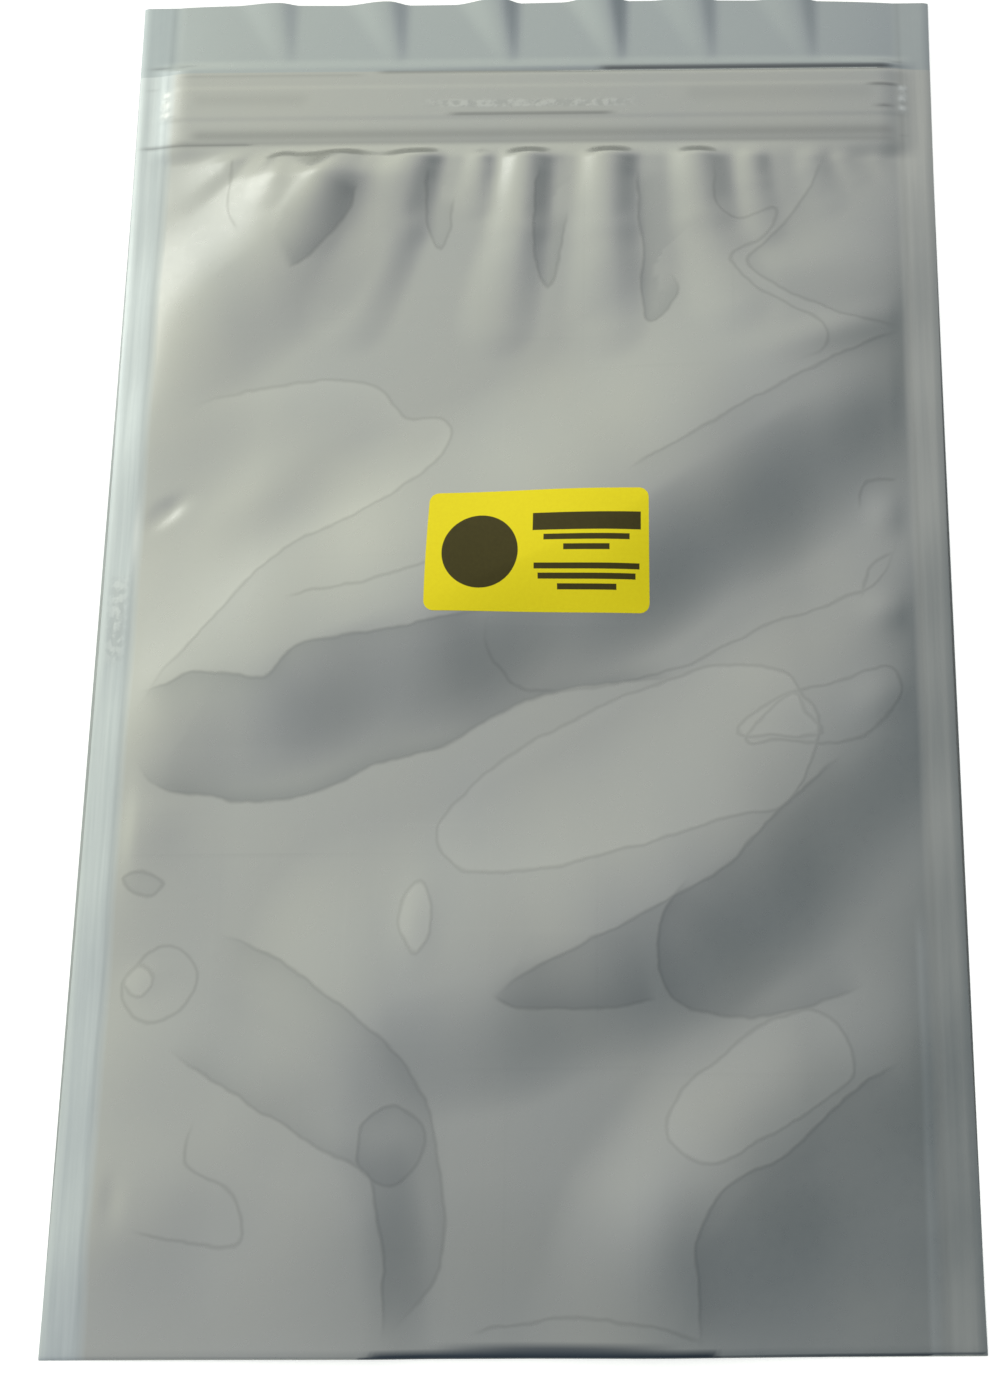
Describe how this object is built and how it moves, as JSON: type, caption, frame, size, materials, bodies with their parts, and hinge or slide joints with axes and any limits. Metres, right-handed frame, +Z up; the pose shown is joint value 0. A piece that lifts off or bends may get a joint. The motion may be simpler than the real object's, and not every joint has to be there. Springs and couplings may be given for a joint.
{
  "type": "anti-static shielding bag",
  "caption": "Flat zip-top pouch of grey metallised film with heat-sealed sides, a folded foot, gathers under the zip and a plain yellow label.",
  "frame": {"origin": "centre of the bag's outline on the face that it lies on", "axes": "+X across the bag to the right, +Y from the folded foot to the open mouth, +Z up out of the labelled front"},
  "size_m": [0.22, 0.352, 0.0103],
  "materials": {
    "metallised_film": "glossy metallised film, silver grey",
    "zip_plastic": "cloudy extruded polyethylene",
    "label_paper": "satin yellow label paper with dark print"
  },
  "bodies": {
    "root": {"film_pouch": "metallised_film", "zip_strip_back": "zip_plastic", "zip_strip_front": "zip_plastic", "label": "label_paper"}
  },
  "joints": []
}
